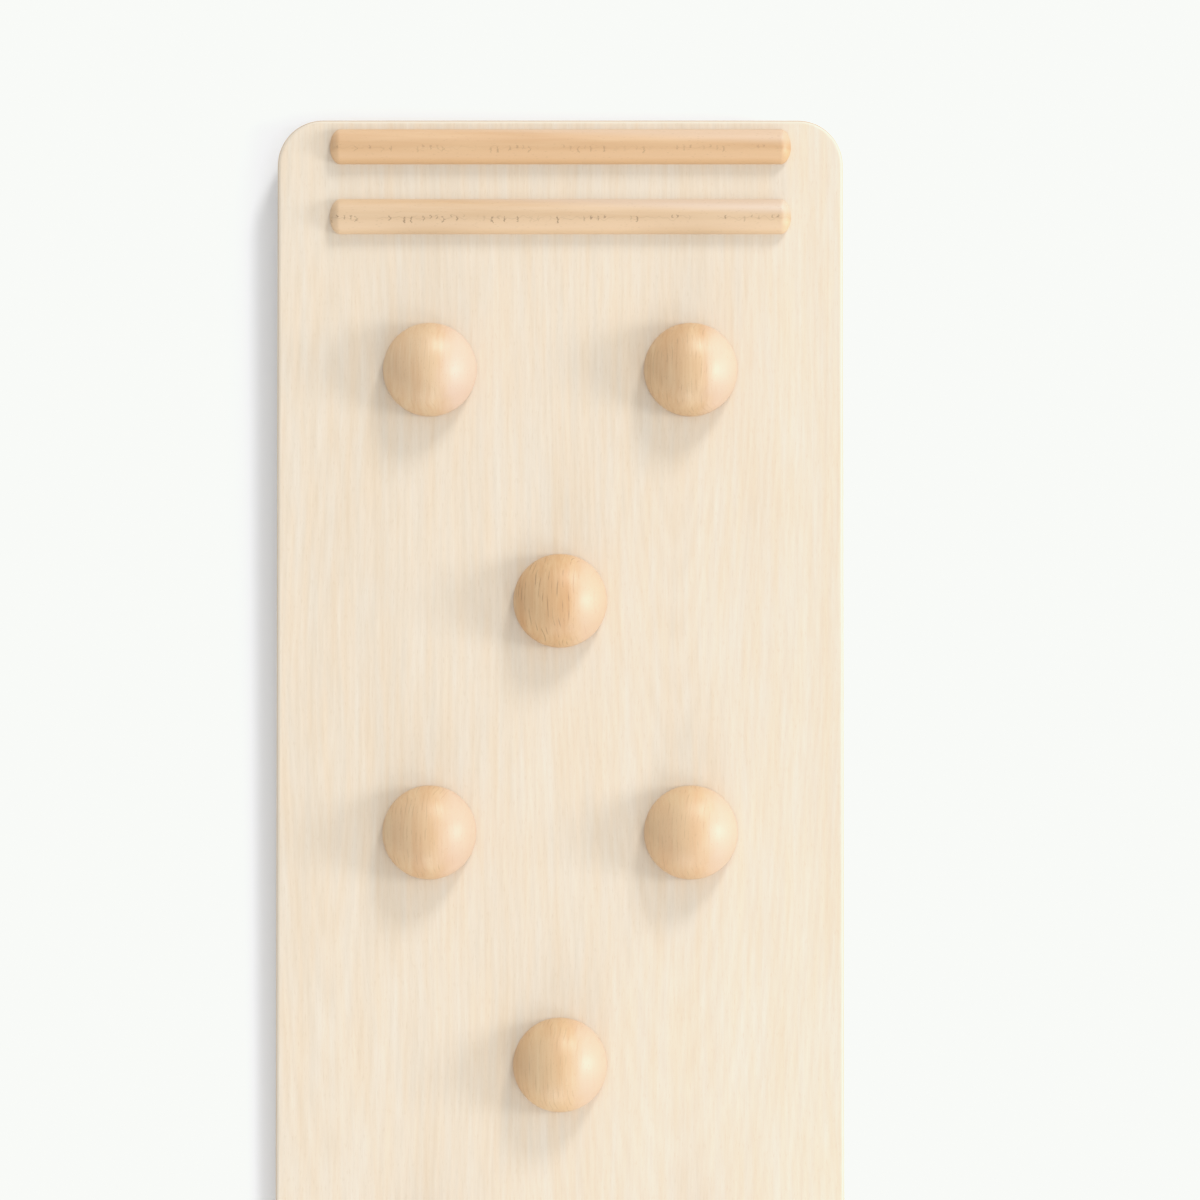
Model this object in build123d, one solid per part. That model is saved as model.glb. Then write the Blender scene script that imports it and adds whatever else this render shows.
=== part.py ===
from build123d import *

import os

# Climbing ramp board: a plywood board with turned wooden knobs on its climbing face, a smooth
# sliding face behind, and a pair of half-round battens on each face at the top end. A round rung
# seats between the two battens of a pair. Millimetres; +X across the board, +Y towards the top
# end, +Z out of the climbing face. The origin is under the board's centre, level with the crowns
# of the rear battens, which are the lowest point.

# ---- driving dimensions -------------------------------------------------------------------

BOARD_WIDTH = 400.0
BOARD_LENGTH = 1200.0
BOARD_THICKNESS = 18.0
CORNER_RADIUS = 32.0
EDGE_ROUND = 3.0

# A batten is a round dowel rod planed to a little under half its depth.
BATTEN_ROD_DIAMETER = 25.0
BATTEN_HEIGHT = 11.0
BATTEN_LENGTH = 326.0
BATTEN_END_TAPER = 7.5
FIRST_BATTEN_FROM_END = 19.0
BATTEN_PITCH = 49.5

KNOB_RADIUS = 33.0
KNOB_BASE_ROUND = 1.5
FIRST_ROW_FROM_END = 177.0
ROW_PITCH = 163.0
ROW_COUNT = 6
KNOB_OFFSET = 92.0

# Knob fixing: flanged button-head machine screw M6 x 25 into a threaded insert.
SCREW_RADIUS = 3.0
SCREW_ROOT_RADIUS = 2.5
SCREW_PITCH = 1.0
SCREW_LENGTH = 25.0
SCREW_PLAIN_LENGTH = 6.0
FLANGE_RADIUS = 6.5
FLANGE_THICKNESS = 1.0
HEAD_RADIUS = 5.25
HEAD_TOP_RADIUS = 3.4
HEAD_HEIGHT = 3.3
HEX_SOCKET_WIDTH = 4.0
HEX_SOCKET_DEPTH = 2.0
SCREW_HOLE_RADIUS = 3.3

INSERT_LENGTH = 13.0
INSERT_BORE_RADIUS = 3.05
INSERT_ROOT_RADIUS = 4.9
INSERT_CREST_RADIUS = 5.5
INSERT_RIB_PITCH = 2.0
INSERT_SET_BACK = 1.0
SCREW_RELIEF_DEPTH = 17.0

# A plug glued in flush hides each knob screw from the sliding face.
PLUG_RADIUS = 7.5
PLUG_THICKNESS = 4.5
PLUG_CHAMFER = 0.5
PLUG_HEAD_GAP = 0.2

# A glued dowel beside each screw stops the knob turning.
DOWEL_RADIUS = 4.0
DOWEL_IN_BOARD = 14.0
DOWEL_IN_KNOB = 16.0
DOWEL_CHAMFER = 1.0
DOWEL_OFFSET = 20.0
DOWEL_END_GAP = 0.5

# Countersunk wood screws 4 x 35 clamp each rear batten, the board and a front batten together.
BATTEN_SCREW_RADIUS = 2.0
BATTEN_SCREW_ROOT_RADIUS = 1.35
BATTEN_SCREW_PITCH = 1.8
BATTEN_SCREW_LENGTH = 35.0
BATTEN_SCREW_PLAIN_LENGTH = 15.0
BATTEN_SCREW_TIP_LENGTH = 3.0
BATTEN_SCREW_HEAD_RADIUS = 4.0
BATTEN_SCREW_RECESS = 0.8
BATTEN_SCREW_HOLE_RADIUS = 2.25
BATTEN_SCREW_PILOT_DEPTH = 8.0
BATTEN_SCREW_COUNT = 4
BATTEN_SCREW_SPACING = 92.0
COUNTERSINK_CLEARANCE = 0.1
CROSS_RECESS_LENGTH = 4.4
CROSS_RECESS_WIDTH = 1.0
CROSS_RECESS_DEPTH = 1.8

# ---- places worked out from them ------------------------------------------------------------

SLIDING_FACE_Z = BATTEN_HEIGHT
CLIMBING_FACE_Z = SLIDING_FACE_Z + BOARD_THICKNESS
TOP_END_Y = BOARD_LENGTH / 2

BATTEN_YS = {
    "upper": TOP_END_Y - FIRST_BATTEN_FROM_END,
    "lower": TOP_END_Y - FIRST_BATTEN_FROM_END - BATTEN_PITCH,
}
FIRST_SCREW_X = -BATTEN_SCREW_SPACING * (BATTEN_SCREW_COUNT - 1) / 2
BATTEN_SCREW_XS = [FIRST_SCREW_X + BATTEN_SCREW_SPACING * i for i in range(BATTEN_SCREW_COUNT)]

# The flange of a knob screw bears here, at the bottom of its counterbore.
COUNTERBORE_DEPTH = PLUG_THICKNESS + PLUG_HEAD_GAP + HEAD_HEIGHT
SCREW_SEAT_Z = SLIDING_FACE_Z + COUNTERBORE_DEPTH

THROUGH = 2.0  # how far a cutting tool runs past a face


def knob_places():
    """Name and centre of each knob: two knobs and one knob in turn, row after row."""
    places = {}
    for row in range(1, ROW_COUNT + 1):
        y = TOP_END_Y - FIRST_ROW_FROM_END - ROW_PITCH * (row - 1)
        if row % 2:
            places[f"{row}_left"] = (-KNOB_OFFSET, y)
            places[f"{row}_right"] = (KNOB_OFFSET, y)
        else:
            places[f"{row}_centre"] = (0.0, y)
    return places


# ---- shapes ---------------------------------------------------------------------------------


def turned(points):
    """A solid of revolution about Z from (radius, height) corners."""
    corners = [(x, 0, z) for x, z in points]
    return revolve(make_face(Polyline(*corners, close=True)), Axis.Z)


def rod(radius, z_from, z_to, x=0.0, y=0.0):
    """An upright cylinder between two heights."""
    height = z_to - z_from
    return Pos(x, y, z_from) * Cylinder(radius, height, align=(Align.CENTER, Align.CENTER, Align.MIN))


def ridges(root, crest, pitch, z_from, z_to):
    """(radius, height) corners of rings that stand for a thread, from z_from up to z_to."""
    count = int((z_to - z_from) / pitch)
    corners = []
    for i in range(count):
        z = z_from + pitch * i
        corners += [(root, z), (crest, z + pitch / 2)]
    return [*corners, (root, z_from + pitch * count)]


def board():
    """The plywood board with its rounded edges and every hole that is drilled in it."""
    body = extrude(RectangleRounded(BOARD_WIDTH, BOARD_LENGTH, CORNER_RADIUS), BOARD_THICKNESS)
    rims = body.faces().sort_by(Axis.Z)[0].edges() + body.faces().sort_by(Axis.Z)[-1].edges()
    body = Pos(0, 0, SLIDING_FACE_Z) * fillet(rims, EDGE_ROUND)
    below, above = SLIDING_FACE_Z - THROUGH, CLIMBING_FACE_Z + THROUGH
    dowel_floor = CLIMBING_FACE_Z - DOWEL_IN_BOARD - DOWEL_END_GAP
    for x, y in knob_places().values():
        body -= rod(SCREW_HOLE_RADIUS, below, above, x, y)
        body -= rod(PLUG_RADIUS, below, SCREW_SEAT_Z, x, y)
        body -= rod(DOWEL_RADIUS, dowel_floor, above, x, y - DOWEL_OFFSET)
    for y in BATTEN_YS.values():
        for x in BATTEN_SCREW_XS:
            body -= rod(BATTEN_SCREW_HOLE_RADIUS, below, above, x, y)
    return body


def batten_blank():
    """Half-round batten along X, flat side down on z = 0, with elliptical nosed ends."""
    radius = BATTEN_ROD_DIAMETER / 2
    straight = BATTEN_LENGTH / 2 - BATTEN_END_TAPER
    nose = EllipticalCenterArc((straight, 0), BATTEN_END_TAPER, radius, 0, arc_size=90)
    outline = nose + mirror(nose, Plane.YZ)
    outline += Line((-straight, radius), (straight, radius))
    outline += Line((-BATTEN_LENGTH / 2, 0), (BATTEN_LENGTH / 2, 0))
    whole = revolve(make_face(outline), Axis.X)
    planed = Pos(0, 0, BATTEN_HEIGHT - radius) * whole
    keep = Box(BATTEN_LENGTH + THROUGH, 2 * radius, BATTEN_HEIGHT + THROUGH,
               align=(Align.CENTER, Align.CENTER, Align.MIN))
    return planed & keep


def front_batten(y):
    """A batten on the climbing face, with blind pilot holes in its flat side."""
    body = Pos(0, y, CLIMBING_FACE_Z) * batten_blank()
    for x in BATTEN_SCREW_XS:
        pilot_end = CLIMBING_FACE_Z + BATTEN_SCREW_PILOT_DEPTH
        body -= rod(BATTEN_SCREW_RADIUS, CLIMBING_FACE_Z - THROUGH, pilot_end, x, y)
    return body


def rear_batten(y):
    """A batten on the sliding face, drilled through and countersunk in its crown."""
    body = Pos(0, y, SLIDING_FACE_Z) * Rot(180, 0, 0) * batten_blank()
    for x in BATTEN_SCREW_XS:
        body -= Pos(x, y, 0) * countersink_tool()
    return body


def countersink_tool():
    """Clearance hole and 90 degree countersink, opening at z = 0."""
    rim = BATTEN_SCREW_HEAD_RADIUS + COUNTERSINK_CLEARANCE
    cone_end = BATTEN_SCREW_RECESS + rim - BATTEN_SCREW_HOLE_RADIUS
    return turned([
        (0, -THROUGH),
        (rim, -THROUGH),
        (rim, BATTEN_SCREW_RECESS),
        (BATTEN_SCREW_HOLE_RADIUS, cone_end),
        (BATTEN_SCREW_HOLE_RADIUS, SLIDING_FACE_Z + THROUGH),
        (0, SLIDING_FACE_Z + THROUGH),
    ])


def batten_screw():
    """Countersunk wood screw, point up, with the top of its head at z = 0."""
    cone_end = BATTEN_SCREW_HEAD_RADIUS - BATTEN_SCREW_ROOT_RADIUS
    thread_start = BATTEN_SCREW_PLAIN_LENGTH
    thread_end = BATTEN_SCREW_LENGTH - BATTEN_SCREW_TIP_LENGTH
    thread = ridges(BATTEN_SCREW_ROOT_RADIUS, BATTEN_SCREW_RADIUS, BATTEN_SCREW_PITCH,
                    thread_start, thread_end)
    body = turned([
        (0, 0),
        (BATTEN_SCREW_HEAD_RADIUS, 0),
        (BATTEN_SCREW_ROOT_RADIUS, cone_end),
        *thread,
        (0, BATTEN_SCREW_LENGTH),
    ])
    for angle in (0, 90):
        slot = Box(CROSS_RECESS_LENGTH, CROSS_RECESS_WIDTH, 2 * CROSS_RECESS_DEPTH)
        body -= Rot(0, 0, angle) * slot
    return body


def knob(x, y):
    """A turned half-ball knob, drilled from below for its insert and dowel."""
    inner = KNOB_RADIUS - KNOB_BASE_ROUND
    outline = Line((0, 0), (inner, 0))
    outline += CenterArc((inner, KNOB_BASE_ROUND), KNOB_BASE_ROUND, -90, 90)
    outline += CenterArc((0, KNOB_BASE_ROUND), KNOB_RADIUS, 0, 90)
    outline += Line((0, KNOB_BASE_ROUND + KNOB_RADIUS), (0, 0))
    body = revolve(make_face(Plane.XZ * outline), Axis.Z)
    insert_end = INSERT_SET_BACK + INSERT_LENGTH
    body -= rod(INSERT_CREST_RADIUS, -THROUGH, insert_end)
    body -= rod(SCREW_HOLE_RADIUS, -THROUGH, SCREW_RELIEF_DEPTH)
    body -= rod(DOWEL_RADIUS, -THROUGH, DOWEL_IN_KNOB + DOWEL_END_GAP, 0, -DOWEL_OFFSET)
    return Pos(x, y, CLIMBING_FACE_Z) * body


def knob_insert(x, y):
    """Barbed threaded insert, set a little below the knob's flat base."""
    ribs = ridges(INSERT_ROOT_RADIUS, INSERT_CREST_RADIUS, INSERT_RIB_PITCH, 0, INSERT_LENGTH)
    body = turned([
        (INSERT_BORE_RADIUS, 0),
        *ribs,
        (INSERT_ROOT_RADIUS, INSERT_LENGTH),
        (INSERT_BORE_RADIUS, INSERT_LENGTH),
    ])
    return Pos(x, y, CLIMBING_FACE_Z + INSERT_SET_BACK) * body


def knob_screw(x, y):
    """Flanged button-head screw, head down, with its flange bearing on z = 0."""
    thread = ridges(SCREW_ROOT_RADIUS, SCREW_RADIUS, SCREW_PITCH, SCREW_PLAIN_LENGTH, SCREW_LENGTH)
    body = turned([
        (0, -HEAD_HEIGHT),
        (HEAD_TOP_RADIUS, -HEAD_HEIGHT),
        (HEAD_RADIUS, -FLANGE_THICKNESS),
        (FLANGE_RADIUS, -FLANGE_THICKNESS),
        (FLANGE_RADIUS, 0),
        (SCREW_RADIUS, 0),
        (SCREW_RADIUS, SCREW_PLAIN_LENGTH - SCREW_PITCH),
        *thread,
        (0, SCREW_LENGTH),
    ])
    socket = extrude(RegularPolygon(HEX_SOCKET_WIDTH / 2, 6, major_radius=False), HEX_SOCKET_DEPTH)
    body -= Pos(0, 0, -HEAD_HEIGHT) * socket
    return Pos(x, y, SCREW_SEAT_Z) * body


def screw_plug(x, y):
    """Plug over a knob screw, flush with the sliding face and eased at its inner edge."""
    body = turned([
        (0, 0),
        (PLUG_RADIUS, 0),
        (PLUG_RADIUS, PLUG_THICKNESS - PLUG_CHAMFER),
        (PLUG_RADIUS - PLUG_CHAMFER, PLUG_THICKNESS),
        (0, PLUG_THICKNESS),
    ])
    return Pos(x, y, SLIDING_FACE_Z) * body


def knob_dowel(x, y):
    """Anti-turn dowel across the joint between board and knob, chamfered at both ends."""
    length = DOWEL_IN_BOARD + DOWEL_IN_KNOB
    tip = DOWEL_RADIUS - DOWEL_CHAMFER
    body = turned([
        (0, 0),
        (tip, 0),
        (DOWEL_RADIUS, DOWEL_CHAMFER),
        (DOWEL_RADIUS, length - DOWEL_CHAMFER),
        (tip, length),
        (0, length),
    ])
    return Pos(x, y - DOWEL_OFFSET, CLIMBING_FACE_Z - DOWEL_IN_BOARD) * body


# ---- assembly -------------------------------------------------------------------------------


def assembly():
    """Every sub-part by node name."""
    nodes = {"board": board()}
    for level, y in BATTEN_YS.items():
        nodes[f"front_batten_{level}"] = front_batten(y)
        nodes[f"rear_batten_{level}"] = rear_batten(y)
        screws = [Pos(x, y, BATTEN_SCREW_RECESS) * batten_screw() for x in BATTEN_SCREW_XS]
        nodes[f"batten_screws_{level}"] = Compound(children=screws)
    for place, (x, y) in knob_places().items():
        nodes[f"knob_{place}"] = knob(x, y)
        nodes[f"knob_insert_{place}"] = knob_insert(x, y)
        nodes[f"knob_screw_{place}"] = knob_screw(x, y)
        nodes[f"knob_dowel_{place}"] = knob_dowel(x, y)
        nodes[f"screw_plug_{place}"] = screw_plug(x, y)
    return nodes


os.makedirs("parts", exist_ok=True)
for name, shape in assembly().items():
    export_step(shape, f"parts/{name}.step")
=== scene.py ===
from math import atan, cos, pi, radians, sin

import bmesh
import bpy
from mathutils import Matrix, Vector


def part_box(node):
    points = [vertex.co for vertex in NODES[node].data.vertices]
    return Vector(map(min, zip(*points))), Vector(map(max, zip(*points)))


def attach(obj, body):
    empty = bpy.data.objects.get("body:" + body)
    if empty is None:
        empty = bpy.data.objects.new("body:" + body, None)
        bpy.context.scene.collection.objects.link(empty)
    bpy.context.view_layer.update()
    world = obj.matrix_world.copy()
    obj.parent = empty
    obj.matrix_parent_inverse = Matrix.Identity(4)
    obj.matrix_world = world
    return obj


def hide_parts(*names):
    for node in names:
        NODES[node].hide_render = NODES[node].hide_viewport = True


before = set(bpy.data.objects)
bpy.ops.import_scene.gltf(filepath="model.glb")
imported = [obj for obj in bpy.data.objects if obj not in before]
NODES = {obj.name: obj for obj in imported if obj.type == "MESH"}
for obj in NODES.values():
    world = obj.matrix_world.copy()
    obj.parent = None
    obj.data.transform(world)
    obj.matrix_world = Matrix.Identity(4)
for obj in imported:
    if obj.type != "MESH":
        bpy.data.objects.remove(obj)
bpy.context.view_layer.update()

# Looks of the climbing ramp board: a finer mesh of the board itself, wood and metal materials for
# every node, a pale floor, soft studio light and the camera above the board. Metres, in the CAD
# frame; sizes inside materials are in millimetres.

MM = 0.001
KNOB_PLACES = sorted(n[len("knob_screw_"):] for n in NODES if n.startswith("knob_screw_"))
LEVELS = ("upper", "lower")

# ---- board mesh -----------------------------------------------------------------------------

CORNER_RADIUS = 32 * MM
CORNER_STEPS = 24
EDGE_ROUND = 3 * MM
EDGE_ROUND_STEPS = 8
HOLE_STEPS = 72
HOLE_OVERSHOOT = 2 * MM
PLUG_GLUE_LINE = 0.1 * MM
COUNTERBORE_PAST_PLUG = 3.5 * MM
SCREW_HOLE_RADIUS = 3.3 * MM
BATTEN_SCREW_HEAD_RADIUS = 4 * MM
BATTEN_SCREW_HOLE_RADIUS = 2.25 * MM
BATTEN_SCREWS = 4
SMOOTH_BELOW = radians(32)


def outline(half_width, half_length, radius):
    """Points round a rectangle with rounded corners, anticlockwise, a corner at a time."""
    points = []
    for corner, (sx, sy) in enumerate(((1, 1), (-1, 1), (-1, -1), (1, -1))):
        centre_x = sx * (half_width - radius)
        centre_y = sy * (half_length - radius)
        for step in range(CORNER_STEPS + 1):
            turn = (corner + step / CORNER_STEPS) * pi / 2
            points.append((centre_x + radius * cos(turn), centre_y + radius * sin(turn)))
    return points


def board_blank():
    """Closed mesh of the board with its rounded corners and edges, before any hole."""
    low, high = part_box("board")
    half_width = (high.x - low.x) / 2
    half_length = (high.y - low.y) / 2
    turns = [step / EDGE_ROUND_STEPS * pi / 2 for step in range(EDGE_ROUND_STEPS + 1)]
    lower = [(1 - sin(t), low.z + EDGE_ROUND * (1 - cos(t))) for t in turns]
    upper = [(1 - cos(t), high.z - EDGE_ROUND * (1 - sin(t))) for t in turns]
    mesh = bmesh.new()
    rings = []
    for inset_share, z in lower + upper:
        inset = inset_share * EDGE_ROUND
        around = outline(half_width - inset, half_length - inset, CORNER_RADIUS - inset)
        rings.append([mesh.verts.new((x, y, z)) for x, y in around])
    for ring, above in zip(rings, rings[1:]):
        for i in range(len(ring)):
            j = (i + 1) % len(ring)
            mesh.faces.new((ring[i], ring[j], above[j], above[i]))
    mesh.faces.new(reversed(rings[0]))
    mesh.faces.new(rings[-1])
    return mesh


def add_hole(mesh, x, y, radius, z_from, z_to):
    """One upright cylinder in a mesh that cuts holes."""
    place = Matrix.Translation((x, y, (z_from + z_to) / 2))
    bmesh.ops.create_cone(mesh, cap_ends=True, segments=HOLE_STEPS, radius1=radius,
                          radius2=radius, depth=z_to - z_from, matrix=place)


def past_board():
    """Heights just below and just above the board."""
    low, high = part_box("board")
    return low.z - HOLE_OVERSHOOT, high.z + HOLE_OVERSHOOT


def blind_holes():
    """Mesh of the counterbores for the plugs and screw heads and of the holes for the dowels."""
    below, above = past_board()
    mesh = bmesh.new()
    for place in KNOB_PLACES:
        plug_low, plug_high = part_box(f"screw_plug_{place}")
        x = (plug_low.x + plug_high.x) / 2
        y = (plug_low.y + plug_high.y) / 2
        radius = (plug_high.x - plug_low.x) / 2 + PLUG_GLUE_LINE
        add_hole(mesh, x, y, radius, below, plug_high.z + COUNTERBORE_PAST_PLUG)
        dowel_low, dowel_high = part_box(f"knob_dowel_{place}")
        dowel_y = (dowel_low.y + dowel_high.y) / 2
        dowel_radius = (dowel_high.x - dowel_low.x) / 2
        add_hole(mesh, x, dowel_y, dowel_radius, dowel_low.z, above)
    return mesh


def through_holes():
    """Mesh of the clearance holes that run right through the board."""
    below, above = past_board()
    mesh = bmesh.new()
    for place in KNOB_PLACES:
        plug_low, plug_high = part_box(f"screw_plug_{place}")
        x = (plug_low.x + plug_high.x) / 2
        y = (plug_low.y + plug_high.y) / 2
        add_hole(mesh, x, y, SCREW_HOLE_RADIUS, below, above)
    for level in LEVELS:
        screws_low, screws_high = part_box(f"batten_screws_{level}")
        y = (screws_low.y + screws_high.y) / 2
        first = screws_low.x + BATTEN_SCREW_HEAD_RADIUS
        last = screws_high.x - BATTEN_SCREW_HEAD_RADIUS
        spacing = (last - first) / (BATTEN_SCREWS - 1)
        for i in range(BATTEN_SCREWS):
            add_hole(mesh, first + spacing * i, y, BATTEN_SCREW_HOLE_RADIUS, below, above)
    return mesh


def as_object(name, mesh):
    """A linked object from a bmesh, which is freed."""
    data = bpy.data.meshes.new(name)
    mesh.to_mesh(data)
    mesh.free()
    obj = bpy.data.objects.new(name, data)
    bpy.context.scene.collection.objects.link(obj)
    return obj


def make_board():
    """The board as one drilled mesh, smooth where it is rounded and flat where it is flat."""
    board = as_object("ramp_board", board_blank())
    cutters = [as_object("cutter_a", blind_holes()), as_object("cutter_b", through_holes())]
    for cutter in cutters:
        cut = board.modifiers.new("holes", "BOOLEAN")
        cut.operation = "DIFFERENCE"
        cut.solver = "EXACT"
        cut.object = cutter
    bpy.context.view_layer.update()
    evaluated = board.evaluated_get(bpy.context.evaluated_depsgraph_get())
    drilled = bpy.data.meshes.new_from_object(evaluated)
    board.modifiers.clear()
    board.data = drilled
    drilled.name = "ramp_board"
    for cutter in cutters:
        bpy.data.objects.remove(cutter)
    drilled.shade_smooth()
    drilled.set_sharp_from_angle(angle=SMOOTH_BELOW)
    weighted = board.modifiers.new("flat faces stay flat", "WEIGHTED_NORMAL")
    weighted.keep_sharp = True
    return board


# ---- material graphs ------------------------------------------------------------------------

MIX_FACTOR = 0
MIX_FIRST_COLOR = 6
MIX_SECOND_COLOR = 7
MIX_COLOR_RESULT = 2


class Graph:
    """Short calls for building one material's node tree around its Principled shader."""

    def __init__(self, name):
        self.material = bpy.data.materials.new(name)
        self.material.use_nodes = True
        tree = self.material.node_tree
        self.nodes = tree.nodes
        self.links = tree.links
        self.shader = self.nodes["Principled BSDF"]

    def feed(self, socket, value):
        """Links another node's output to the socket, or sets the socket to a plain value."""
        if isinstance(value, bpy.types.NodeSocket):
            self.links.new(value, socket)
        else:
            socket.default_value = value

    def add(self, kind, inputs, output=0, **settings):
        """A new node. Each input is a value or another node's output; returns an output."""
        node = self.nodes.new(kind)
        for key, value in settings.items():
            setattr(node, key, value)
        for key, value in inputs.items():
            self.feed(node.inputs[key], value)
        return node.outputs[output]

    def math(self, operation, *values):
        return self.add("ShaderNodeMath", dict(enumerate(values)), operation=operation)

    def vector(self, operation, *values):
        return self.add("ShaderNodeVectorMath", dict(enumerate(values)), operation=operation)

    def remap(self, value, low, high, to_low=0.0, to_high=1.0, smooth=False):
        """The value taken from low..high to to_low..to_high and held there outside it."""
        inputs = {"Value": value, "From Min": low, "From Max": high,
                  "To Min": to_low, "To Max": to_high}
        kind = "SMOOTHSTEP" if smooth else "LINEAR"
        return self.add("ShaderNodeMapRange", inputs, interpolation_type=kind)

    def mix(self, amount, first, second):
        """The first colour where amount is 0 and the second where it is 1."""
        inputs = {MIX_FACTOR: amount, MIX_FIRST_COLOR: first, MIX_SECOND_COLOR: second}
        return self.add("ShaderNodeMix", inputs, output=MIX_COLOR_RESULT, data_type="RGBA")

    def millimetres(self):
        """The place on the object in millimetres."""
        place = self.add("ShaderNodeTexCoord", {}, output="Object")
        return self.vector("MULTIPLY", place, (1 / MM, 1 / MM, 1 / MM))

    def split(self, vector):
        """The three parts of a vector or colour."""
        node = self.nodes.new("ShaderNodeSeparateXYZ")
        self.feed(node.inputs[0], vector)
        return node.outputs[0], node.outputs[1], node.outputs[2]

    def join(self, x, y, z):
        return self.add("ShaderNodeCombineXYZ", {0: x, 1: y, 2: z})

    def noise(self, place, size, offset=(0, 0, 0), detail=2.0, roughness=0.5):
        """Noise from 0 to 1 whose features are about size millimetres along each axis."""
        shifted = self.vector("ADD", place, offset)
        scaled = self.vector("DIVIDE", shifted, size)
        inputs = {"Vector": scaled, "Scale": 1.0, "Detail": detail, "Roughness": roughness}
        return self.add("ShaderNodeTexNoise", inputs, output="Fac")

    def total(self, *weighted):
        """Sum of weight times value over (weight, value) pairs."""
        result = None
        for weight, value in weighted:
            term = self.math("MULTIPLY", value, weight)
            result = term if result is None else self.math("ADD", result, term)
        return result

    def finish(self, color, roughness, height, relief):
        """Wires colour, roughness and a bump that is relief metres deep into the shader."""
        self.feed(self.shader.inputs["Base Color"], color)
        self.feed(self.shader.inputs["Roughness"], roughness)
        bump = self.add("ShaderNodeBump", {"Height": height, "Distance": relief}, output="Normal")
        self.feed(self.shader.inputs["Normal"], bump)
        return self.material


WOOD_RELIEF = 0.03 * MM
METAL_RELIEF = 0.01 * MM
FLOOR_RELIEF = 0.02 * MM


def tinted(color, red, green, blue):
    """The colour with its three parts scaled."""
    return (color[0] * red, color[1] * green, color[2] * blue, 1)


# ---- plywood --------------------------------------------------------------------------------

# Pale and dark tones of the face veneer and of the two kinds of ply that show at the edge.
VENEER_COOL = ((0.710, 0.636, 0.532, 1), (0.650, 0.565, 0.452, 1))
VENEER_WARM = ((0.722, 0.618, 0.488, 1), (0.660, 0.546, 0.408, 1))
PLY_LONG_GRAIN = ((0.72, 0.61, 0.47, 1), (0.63, 0.51, 0.37, 1))
PLY_END_GRAIN = ((0.58, 0.46, 0.33, 1), (0.48, 0.36, 0.24, 1))
GLUE_TONE = (0.27, 0.18, 0.12, 1)
SANDED_TONE = (0.69, 0.61, 0.50, 1)

# In millimetres.
VENEER_THICKNESS = 0.9
PLY_THICKNESS = 1.8
OTHER_LEAF_SHIFT = 700.0
VENEER_WANDER = 13.0


def cathedral(graph, x, y, centre, depth, rise, spacing):
    """Growth rings where a flat cut meets them: long lines at the sides, arches in the middle.
    depth and rise give the height of the pith's line under the cut along the grain."""
    side = graph.math("SUBTRACT", x, centre)
    below = graph.math("MULTIPLY_ADD", y, rise, depth)
    squares = graph.math("ADD", graph.math("MULTIPLY", side, side),
                         graph.math("MULTIPLY", below, below))
    rings = graph.math("DIVIDE", graph.math("SQRT", squares), spacing)
    wave = graph.math("SINE", graph.math("MULTIPLY", rings, 2 * pi))
    return graph.math("MULTIPLY_ADD", wave, 0.5, 0.5)


def veneer(graph, x, y):
    """Pale straight-grained face veneer with its grain along Y: its colour, its figure from 0 in
    the palest places to 1 in the darkest, and its relief as (weight, height) pairs."""
    leaf = graph.join(x, y, 0.0)
    wander = graph.noise(leaf, (120, 300, 50), detail=1.0)
    x_bent = graph.math("MULTIPLY_ADD", wander, VENEER_WANDER, x)
    bent = graph.join(x_bent, y, 0.0)

    fine = graph.noise(bent, (1.5, 26, 1), detail=3.0, roughness=0.6)
    mid = graph.noise(bent, (5, 90, 1), (40, 0, 0), detail=2.0)
    broad = graph.noise(bent, (34, 500, 1), (90, 0, 0), detail=1.0)
    pores = graph.noise(bent, (0.9, 6, 1), (15, 0, 0), detail=1.0)
    left = cathedral(graph, x_bent, y, -155.0, -20.0, 0.10, 5.2)
    right = cathedral(graph, x_bent, y, 88.0, -62.0, 0.12, 4.6)
    on_right = graph.remap(x, -50, -10, smooth=True)
    on_left = graph.math("SUBTRACT", 1.0, on_right)
    rings = graph.math("ADD", graph.math("MULTIPLY", right, on_right),
                       graph.math("MULTIPLY", left, on_left))
    figure = graph.total((0.9, fine), (0.7, mid), (0.6, broad), (0.14, rings),
                         (0.35, graph.remap(pores, 0.60, 0.72)))
    figure = graph.remap(figure, 0.85, 1.55)

    warmth = graph.noise(bent, (7, 100, 1), (55, 0, 0), detail=3.0)
    cool = graph.mix(figure, *VENEER_COOL)
    warm = graph.mix(figure, *VENEER_WARM)
    color = graph.mix(graph.remap(warmth, 0.35, 0.65), cool, warm)
    return color, figure, ((1.0, fine), (0.5, pores))


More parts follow.
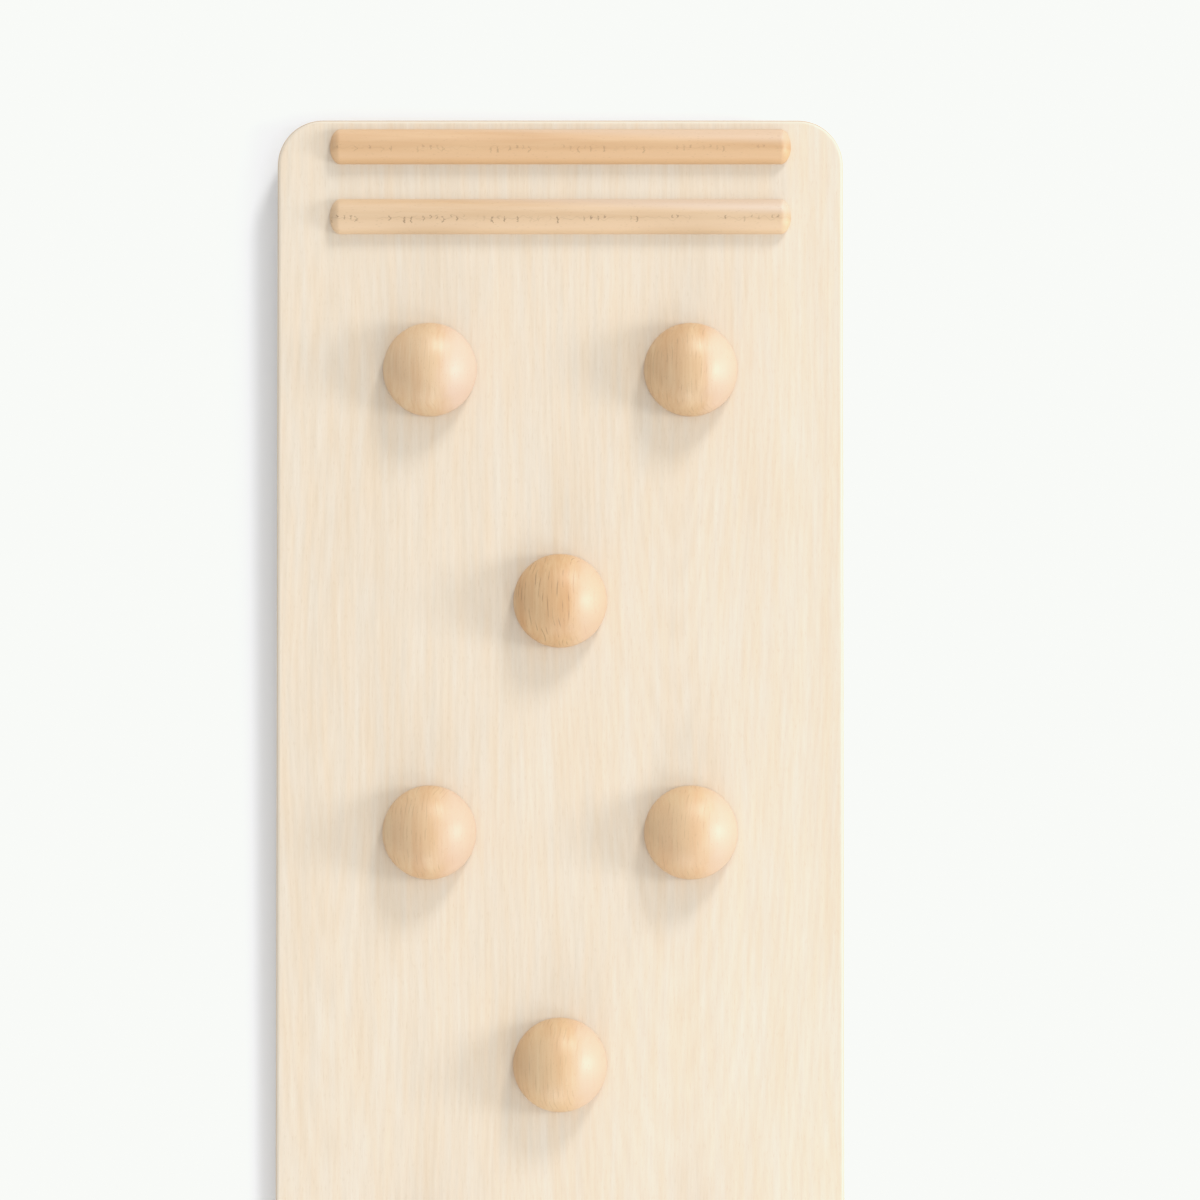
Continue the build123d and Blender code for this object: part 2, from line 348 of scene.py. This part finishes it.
def ply_edge(graph, place, depth, normal):
    """Plies below the veneer, long grain and end grain in turn, with thin glue lines between:
    their colour and where the glue is. depth is the distance in from the nearer face."""
    ply = graph.math("DIVIDE", graph.math("SUBTRACT", depth, VENEER_THICKNESS), PLY_THICKNESS)
    pair = graph.math("FRACT", graph.math("MULTIPLY", ply, 0.5))
    turned = graph.math("GREATER_THAN", pair, 0.5)
    glue = graph.remap(graph.math("PINGPONG", ply, 0.5), 0.07, 0.02)
    facing_x = graph.math("ABSOLUTE", graph.split(normal)[0])
    facing_x = graph.remap(facing_x, 0.5, 0.85)
    end_grain = graph.math("ABSOLUTE", graph.math("SUBTRACT", turned, facing_x))
    end_grain = graph.math("SUBTRACT", 1.0, end_grain)

    speckle = graph.noise(place, (0.6, 0.6, 0.25), detail=2.0)
    streak = graph.noise(place, (30, 30, 0.3), detail=2.0)
    pattern = graph.mix(end_grain, graph.join(streak, streak, streak),
                        graph.join(speckle, speckle, speckle))
    pattern = graph.remap(graph.split(pattern)[0], 0.3, 0.7)
    long_grain = graph.mix(pattern, *PLY_LONG_GRAIN)
    cut_grain = graph.mix(pattern, *PLY_END_GRAIN)
    wood = graph.mix(end_grain, long_grain, cut_grain)
    return graph.mix(glue, wood, GLUE_TONE), glue


def board_material():
    """Veneer on both faces over cross-laid plies that show at the edge."""
    graph = Graph("board_ply")
    low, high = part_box("board")
    middle_z = (low.z + high.z) / 2 / MM
    half_thickness = (high.z - low.z) / 2 / MM
    place = graph.millimetres()
    x, y, z = graph.split(place)

    # The two faces are cut from different leaves, so their figure differs.
    other_leaf = graph.math("LESS_THAN", z, middle_z)
    leaf_y = graph.math("MULTIPLY_ADD", other_leaf, OTHER_LEAF_SHIFT, y)
    face, figure, face_relief = veneer(graph, x, leaf_y)

    normal = graph.nodes.new("ShaderNodeNewGeometry").outputs["Normal"]
    from_middle = graph.math("ABSOLUTE", graph.math("SUBTRACT", z, middle_z))
    depth = graph.math("SUBTRACT", half_thickness, from_middle)
    core, glue = ply_edge(graph, place, depth, normal)

    # The rounding cuts thinly through the veneer and looks sanded.
    facing_out = graph.math("ABSOLUTE", graph.split(normal)[2])
    sanded = graph.remap(facing_out, 0.985, 0.90)
    rounded = graph.mix(graph.math("MULTIPLY", sanded, 0.8), face, SANDED_TONE)
    color = graph.mix(graph.remap(depth, 0.8, 0.95), rounded, core)

    roughness = graph.remap(figure, 0.0, 1.0, 0.50, 0.60)
    height = graph.total(*face_relief, (0.5, graph.math("MULTIPLY", glue, -1.0)))
    graph.shader.inputs["Specular IOR Level"].default_value = 0.35
    return graph.finish(color, roughness, height, WOOD_RELIEF)


# ---- solid wood and metal -------------------------------------------------------------------

PLUG_TONES = ((0.64, 0.49, 0.32, 1), (0.52, 0.37, 0.22, 1))
ZINC_TONE = (0.62, 0.62, 0.60, 1)
BRASS_TONE = (0.78, 0.57, 0.26, 1)
TURNING_MARKS = (0.4, 0.4, 0.05)

# In millimetres. A piece's seed times the two steps is where in the tree it was cut.
SEED_STEP_ACROSS = 31.0
SEED_STEP_ALONG = 47.0
GROWTH_LINE_SPACING = 3.4
TICK_SPACING = 4.7
TICK_ROW_OFFSET = 2.2


def flecks(graph, place, size, offset, reach, share):
    """Scattered lens-shaped marks: 1 inside a mark, 0 outside. share of the cells have one."""
    shifted = graph.vector("ADD", place, offset)
    scaled = graph.vector("DIVIDE", shifted, size)
    cells = graph.nodes.new("ShaderNodeTexVoronoi")
    cells.feature = "F1"
    graph.feed(cells.inputs["Vector"], scaled)
    graph.feed(cells.inputs["Scale"], 1.0)
    mark = graph.remap(cells.outputs["Distance"], reach, reach * 0.4, smooth=True)
    pick = graph.split(cells.outputs["Color"])[0]
    chosen = graph.remap(pick, 1 - share - 0.02, 1 - share + 0.02)
    return graph.math("MULTIPLY", mark, chosen)


def growth_lines(graph, place, across, z, sway):
    """Lines along the grain, broken up, where upright growth layers meet the surface."""
    layer = graph.total((1.0, across), (0.22, z), (9.0, sway))
    ring = graph.math("FRACT", graph.math("DIVIDE", layer, GROWTH_LINE_SPACING))
    off_line = graph.math("ABSOLUTE", graph.math("SUBTRACT", ring, 0.5))
    fade = graph.remap(graph.noise(place, (5, 13, 12), (300, 0, 0)), 0.48, 0.62)
    return graph.math("MULTIPLY", graph.remap(off_line, 0.16, 0.01, smooth=True), fade)


def crown_ticks(graph, along, off, seed):
    """A row of ragged bent ticks across the grain, one every TICK_SPACING. Chance gives each its
    strength, its bend, and its length and place across together."""
    beat = graph.math("DIVIDE", graph.math("ADD", along, 13.7 * seed), TICK_SPACING)
    dice = graph.add("ShaderNodeTexWhiteNoise", {"W": graph.math("FLOOR", beat)},
                     output="Color", noise_dimensions="1D")
    pick, turn, shift = graph.split(dice)
    from_middle = graph.math("MULTIPLY_ADD", graph.math("FRACT", beat), TICK_SPACING,
                             -TICK_SPACING / 2)
    ragged = graph.noise(graph.join(along, off, 5.0 * seed), (1.3, 1.3, 1.0), detail=1.0)
    from_middle = graph.total((1.0, from_middle), (3.4, graph.math("SUBTRACT", ragged, 0.5)))
    row_shift = graph.math("MULTIPLY_ADD", shift, 2.8, -1.4)
    aside = graph.math("ABSOLUTE", graph.math("ADD", off, row_shift))
    slant = graph.math("MULTIPLY_ADD", turn, 2.2, -1.3)
    bend = graph.math("MULTIPLY", aside, slant)
    stroke = graph.math("ABSOLUTE", graph.math("SUBTRACT", from_middle, bend))
    stroke = graph.remap(stroke, 0.80, 0.15, smooth=True)
    length = graph.math("MULTIPLY_ADD", shift, 1.3, 0.9)
    reach = graph.remap(graph.math("SUBTRACT", aside, length), 0.5, -0.5, smooth=True)
    strength = graph.remap(pick, 0.25, 0.60)
    return graph.math("MULTIPLY", graph.math("MULTIPLY", stroke, reach), strength)


def crown_marks(graph, along, off, seed):
    """What a batten's crown shows where it grazes a growth layer: a row of ticks and a faint wavy
    line, in groups. off is the distance across from the middle of the row."""
    ticks = crown_ticks(graph, along, off, seed)
    run = graph.join(along, 90.0 * seed, 0.0)
    wave = graph.math("MULTIPLY_ADD", graph.noise(run, (8, 1, 1), detail=1.0), 10.0, -5.0)
    wave = graph.math("ABSOLUTE", graph.math("SUBTRACT", off, wave))
    wave = graph.math("MULTIPLY", graph.remap(wave, 0.45, 0.10, smooth=True), 0.22)
    groups = graph.remap(graph.noise(run, (26, 1, 1), (0, 7, 0), detail=1.0), 0.39, 0.47)
    return graph.math("MULTIPLY", graph.math("MAXIMUM", ticks, wave), groups)


def painted_lit_side(graph, color, line, pale, place, off):
    """Colour and growth lines of a piece with painted light on its +X side, which faces the right
    soft box: that side is painted paler and whiter and shows few growth lines.
    """
    edge = graph.math("MULTIPLY_ADD", graph.noise(place, (7, 22, 12), (150, 0, 0)), 10.0, off)
    # Painted light: the +X side, towards the right soft box, is painted paler and whiter, and its
    # growth lines fade there.
    painted_light_mask = graph.remap(edge, 8.0, 26.0, smooth=True)
    line = graph.math("MULTIPLY", line, graph.math("MULTIPLY_ADD", painted_light_mask, -0.85, 1.0))
    share = graph.math("MULTIPLY", painted_light_mask, 0.9)
    return graph.mix(share, color, tinted(pale, 1.00, 1.01, 1.28)), line


def batten_painted_flank_light(graph, color, pale, along, off):
    """Colour of a batten with painted light on both flanks: painted paler on its -Y flank, which
    faces the lamps at the foot, and a cooler, whiter painted highlight on its +Y flank, which
    faces the top soft box, with the edge of that highlight running a little askew."""
    # Painted light on the -Y flank, which faces the lamps at the foot.
    painted_foot_light = graph.remap(off, -1.0, -6.0, smooth=True)
    share = graph.math("MULTIPLY", painted_foot_light, 0.75)
    color = graph.mix(share, color, tinted(pale, 1.13, 1.13, 1.13))
    # Painted highlight on the +Y flank, which faces the top soft box; its edge runs a little
    # askew.
    askew = graph.math("MULTIPLY_ADD", along, 0.045, off)
    painted_top_highlight = graph.remap(askew, 5.5, 12.5, smooth=True)
    return graph.mix(painted_top_highlight, color, tinted(pale, 0.97, 1.04, 1.24))


def beech(name, seed, pale, dark, lines, middle, along="Y"):
    """Solid beech. seed moves the piece through the tree, pale and dark are its two tones and
    lines is how clear its growth lines are. With the grain along Y, as in a knob, middle is its
    middle X in millimetres; with the grain along X, as in a batten, it is its middle Y."""
    graph = Graph(name)
    x, y, z = graph.split(graph.millimetres())
    if along == "X":
        x, y = y, x
    off = graph.math("SUBTRACT", x, middle)
    across = graph.math("ADD", x, SEED_STEP_ACROSS * seed)
    length = graph.math("ADD", y, SEED_STEP_ALONG * seed)
    place = graph.join(across, length, z)
    sway = graph.noise(place, (22, 90, 22), detail=2.0)
    bent = graph.join(graph.math("MULTIPLY_ADD", sway, 6.0, across), length, z)
    fibre = graph.noise(bent, (0.9, 30, 6), detail=3.0, roughness=0.6)
    streak = graph.noise(bent, (3.2, 70, 18), (60, 0, 0), detail=2.0)
    broad = graph.noise(bent, (13, 90, 60), (120, 0, 0), detail=1.0)
    rays = flecks(graph, bent, (0.7, 3.6, 0.7), (5, 3, 1), 0.34, 0.22)

    figure = graph.total((0.55, fibre), (0.70, streak), (0.90, broad))
    figure = graph.remap(figure, 0.74, 1.40)
    color = graph.mix(figure, pale, dark)
    if along == "Y":
        line = growth_lines(graph, place, across, z, sway)
        # Painted light and sheen on the knob's +X side, which faces the right soft box.
        color, line = painted_lit_side(graph, color, line, pale, place, off)
    else:
        line = crown_marks(graph, length, graph.math("ADD", off, TICK_ROW_OFFSET), seed)
        # Painted light on the batten's flanks: paler on the -Y flank, a whiter painted highlight
        # on the +Y flank.
        color = batten_painted_flank_light(graph, color, pale, y, off)
    mark_tone = tinted(dark, 0.56, 0.54, 0.52)
    color = graph.mix(graph.math("MULTIPLY", rays, 0.30), color, mark_tone)
    color = graph.mix(graph.math("MULTIPLY", line, lines), color, mark_tone)
    roughness = graph.remap(figure, 0.0, 1.0, 0.46, 0.54)
    height = graph.total((1.0, fibre), (-0.4, rays))
    graph.shader.inputs["Specular IOR Level"].default_value = 0.9
    return graph.finish(color, roughness, height, WOOD_RELIEF)


def end_grain_beech(name, seed):
    """Beech for the plugs, which are cut across the grain: fine fibre and broad patches."""
    graph = Graph(name)
    place = graph.millimetres()
    place = graph.vector("ADD", place, (17.0 * seed, 29.0 * seed, 0.0))
    fibre = graph.noise(place, (18, 0.5, 0.5), detail=3.0)
    broad = graph.noise(place, (40, 4, 4), detail=1.0)
    figure = graph.remap(graph.total((0.6, fibre), (0.6, broad)), 0.45, 0.8)
    color = graph.mix(figure, *PLUG_TONES)
    return graph.finish(color, 0.5, fibre, WOOD_RELIEF)


def metal(name, color, roughness, scratch_size):
    """Plated metal with fine turning marks and a little tarnish."""
    graph = Graph(name)
    place = graph.millimetres()
    marks = graph.noise(place, scratch_size, detail=3.0, roughness=0.7)
    tarnish = graph.noise(place, (3, 3, 3), (9, 9, 9), detail=3.0)
    shade = graph.mix(graph.remap(tarnish, 0.35, 0.75), color, tinted(color, 0.72, 0.72, 0.72))
    graph.shader.inputs["Metallic"].default_value = 1.0
    rough = graph.remap(marks, 0.3, 0.7, roughness - 0.06, roughness + 0.10)
    return graph.finish(shade, rough, marks, METAL_RELIEF)


def dress(obj, material):
    """Makes the material the only one on an object."""
    obj.data.materials.clear()
    obj.data.materials.append(material)


# ---- pieces ---------------------------------------------------------------------------------

# Pale and dark tone of each batten and how clear the marks on its crown are.
BATTENS = {
    "front_batten_upper": ((0.610, 0.398, 0.214, 1), (0.548, 0.330, 0.160, 1), 0.50),
    "front_batten_lower": ((0.630, 0.455, 0.285, 1), (0.570, 0.390, 0.225, 1), 1.0),
    "rear_batten_upper": ((0.630, 0.450, 0.275, 1), (0.560, 0.365, 0.200, 1), 0.40),
    "rear_batten_lower": ((0.625, 0.435, 0.255, 1), (0.545, 0.350, 0.185, 1), 0.50),
}

# The same for the knobs, which come from different sticks, and for the dowels inside them.
KNOBS = {
    "1_left": ((0.642, 0.474, 0.290, 1), (0.570, 0.352, 0.182, 1), 0.15),
    "1_right": ((0.645, 0.465, 0.270, 1), (0.535, 0.320, 0.155, 1), 0.35),
    "2_centre": ((0.640, 0.450, 0.245, 1), (0.545, 0.310, 0.138, 1), 0.70),
    "3_left": ((0.630, 0.450, 0.260, 1), (0.565, 0.342, 0.172, 1), 0.35),
    "3_right": ((0.640, 0.460, 0.265, 1), (0.600, 0.378, 0.202, 1), 0.30),
    "4_centre": ((0.638, 0.458, 0.262, 1), (0.575, 0.358, 0.180, 1), 0.30),
}
OTHER_KNOBS = ((0.640, 0.460, 0.265, 1), (0.570, 0.360, 0.195, 1), 0.35)
DOWELS = ((0.62, 0.45, 0.28, 1), (0.50, 0.34, 0.19, 1), 0.35)

FIRST_BATTEN_SEED = 1
DOWEL_SEED = 5
FIRST_KNOB_SEED = 11

board = make_board()
dress(board, board_material())
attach(board, "root")
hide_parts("board")

for seed, (node, wood) in enumerate(BATTENS.items(), start=FIRST_BATTEN_SEED):
    low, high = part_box(node)
    middle = (low.y + high.y) / 2 / MM
    dress(NODES[node], beech(f"{node}_beech", seed, *wood, middle, along="X"))

for seed, place in enumerate(KNOB_PLACES, start=FIRST_KNOB_SEED):
    wood = KNOBS.get(place, OTHER_KNOBS)
    low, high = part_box(f"knob_{place}")
    middle = (low.x + high.x) / 2 / MM
    dress(NODES[f"knob_{place}"], beech(f"knob_{place}_beech", seed, *wood, middle))
    dress(NODES[f"screw_plug_{place}"], end_grain_beech(f"plug_{place}_beech", seed))

dowel_beech = beech("dowel_beech", DOWEL_SEED, *DOWELS, 0.0)
zinc = metal("zinc_plated_steel", ZINC_TONE, 0.32, TURNING_MARKS)
brass = metal("insert_brass", BRASS_TONE, 0.30, TURNING_MARKS)
for place in KNOB_PLACES:
    dress(NODES[f"knob_dowel_{place}"], dowel_beech)
    dress(NODES[f"knob_screw_{place}"], zinc)
    dress(NODES[f"knob_insert_{place}"], brass)
for level in LEVELS:
    dress(NODES[f"batten_screws_{level}"], zinc)

# ---- floor ----------------------------------------------------------------------------------

FLOOR_HALF_SIZE = 12.0
FLOOR_TONES = ((0.920, 0.934, 0.952, 1), (0.910, 0.924, 0.942, 1))


def floor_material():
    """Nearly white matt paper with a faint cloud and a fine tooth."""
    graph = Graph("floor_paper")
    place = graph.millimetres()
    cloud = graph.noise(place, (400, 400, 400), detail=2.0)
    tooth = graph.noise(place, (1.5, 1.5, 1.5), detail=2.0)
    color = graph.mix(cloud, *FLOOR_TONES)
    graph.shader.inputs["Specular IOR Level"].default_value = 0.1
    return graph.finish(color, 0.9, tooth, FLOOR_RELIEF)


def make_floor():
    """Pale floor that touches what the board really lies on: the crown of the lower rear batten
    and the lower edge of the far end."""
    board_low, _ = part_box("board")
    crown_low, crown_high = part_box("rear_batten_lower")
    touch = Vector((0, (crown_low.y + crown_high.y) / 2, crown_low.z))
    far_edge = board_low.y + EDGE_ROUND
    slope = atan((board_low.z - touch.z) / (touch.y - far_edge))
    mesh = bmesh.new()
    bmesh.ops.create_grid(mesh, x_segments=1, y_segments=1, size=FLOOR_HALF_SIZE)
    floor = as_object("floor", mesh)
    floor.matrix_world = Matrix.Translation(touch) @ Matrix.Rotation(-slope, 4, "X")
    dress(floor, floor_material())


make_floor()

# ---- light ----------------------------------------------------------------------------------

# Light is counted in shares of what a level surface gets: the even light from all round and
# soft boxes at the right, the top and the foot. RIGHT_LEAN makes the even light a little
# stronger from the right and as much weaker from the left.
EXPOSURE = 1.31
ALL_ROUND_SHARE = 0.610
RIGHT_LEAN = 0.05
LIGHTS_AIM_UP_BOARD = 0.25

# Name, azimuth, elevation, share of the light, angle it fills and distance of each soft box.
SOFT_BOXES = (
    ("right_box", 0, 23.6, 0.126, 18, 3.5),
    ("top_box", 68, 28, 0.163, 13, 8.0),
    ("low_box", -49, 42, 0.060, 18, 3.5),
    ("foot_fill", -90, 12, 0.050, 40, 2.1),
)


def soft_box(name, azimuth, elevation, share, apparent_size, distance):
    """A round soft box at that azimuth (from +X towards +Y), elevation and distance, aimed at
    the board, that gives this share of the light; apparent_size is the angle it fills. Angles
    are in degrees."""
    low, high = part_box("board")
    middle_x = (low.x + high.x) / 2
    middle_y = (low.y + high.y) / 2
    aim = Vector((middle_x, middle_y + LIGHTS_AIM_UP_BOARD, high.z))
    a = radians(azimuth)
    e = radians(elevation)
    direction = Vector((cos(a) * cos(e), sin(a) * cos(e), sin(e)))
    lamp = bpy.data.lights.new(name, "AREA")
    lamp.shape = "DISK"
    lamp.size = distance * radians(apparent_size)
    lamp.energy = EXPOSURE * share / sin(e) * (pi * distance) ** 2
    box = bpy.data.objects.new(name, lamp)
    bpy.context.scene.collection.objects.link(box)
    box.location = aim + distance * direction
    box.rotation_euler = direction.to_track_quat("Z", "Y").to_euler()
    box.visible_camera = False


def all_round_light():
    """White light from everywhere whose strength leans towards +X."""
    world = bpy.data.worlds.new("studio")
    bpy.context.scene.world = world
    world.use_nodes = True
    nodes = world.node_tree.nodes
    links = world.node_tree.links
    backdrop = nodes["Background"]
    backdrop.inputs["Color"].default_value = (1, 1, 1, 1)
    sky = nodes.new("ShaderNodeTexCoord")
    split = nodes.new("ShaderNodeSeparateXYZ")
    lean = nodes.new("ShaderNodeMapRange")
    lean.inputs["From Min"].default_value = -1
    lean.inputs["To Min"].default_value = EXPOSURE * ALL_ROUND_SHARE * (1 - RIGHT_LEAN)
    lean.inputs["To Max"].default_value = EXPOSURE * ALL_ROUND_SHARE * (1 + RIGHT_LEAN)
    links.new(sky.outputs["Generated"], split.inputs[0])
    links.new(split.outputs["X"], lean.inputs["Value"])
    links.new(lean.outputs["Result"], backdrop.inputs["Strength"])


for settings in SOFT_BOXES:
    soft_box(*settings)
all_round_light()

# ---- camera ---------------------------------------------------------------------------------

CAMERA_DISTANCE = 2.6
CAMERA_TILT = radians(1.3)
FRAME_WIDTH = 0.8458
SENSOR_WIDTH = 36.0
AIM_FROM_CENTRE = Vector((0.0280, 0.2606, 0.0))


def make_camera():
    """Camera almost straight above the batten half of the board, top end up."""
    low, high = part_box("board")
    centre = Vector(((low.x + high.x) / 2, (low.y + high.y) / 2, high.z))
    aim = centre + AIM_FROM_CENTRE
    data = bpy.data.cameras.new("camera")
    data.sensor_width = SENSOR_WIDTH
    data.lens = SENSOR_WIDTH * CAMERA_DISTANCE / FRAME_WIDTH
    camera = bpy.data.objects.new("camera", data)
    bpy.context.scene.collection.objects.link(camera)
    camera.location = aim + CAMERA_DISTANCE * Vector((0, -sin(CAMERA_TILT), cos(CAMERA_TILT)))
    camera.rotation_euler = (CAMERA_TILT, 0, 0)
    bpy.context.scene.camera = camera


make_camera()

# ---- tone -----------------------------------------------------------------------------------

SHOULDER = 0.90
PAPER_WHITE = (0.940, 0.957, 0.930)


def paper_tone():
    """Tones run straight up to SHOULDER; whatever is whiter ends in the off-white of paper."""
    view = bpy.context.scene.view_settings
    view.view_transform = "Standard"
    view.use_curve_mapping = True
    mapping = view.curve_mapping
    mapping.extend = "HORIZONTAL"
    for curve, white in zip(mapping.curves, PAPER_WHITE):
        curve.points[-1].location = (1.0, white)
        curve.points.new(SHOULDER, SHOULDER)
        for point in curve.points:
            point.handle_type = "VECTOR"
    mapping.update()


paper_tone()
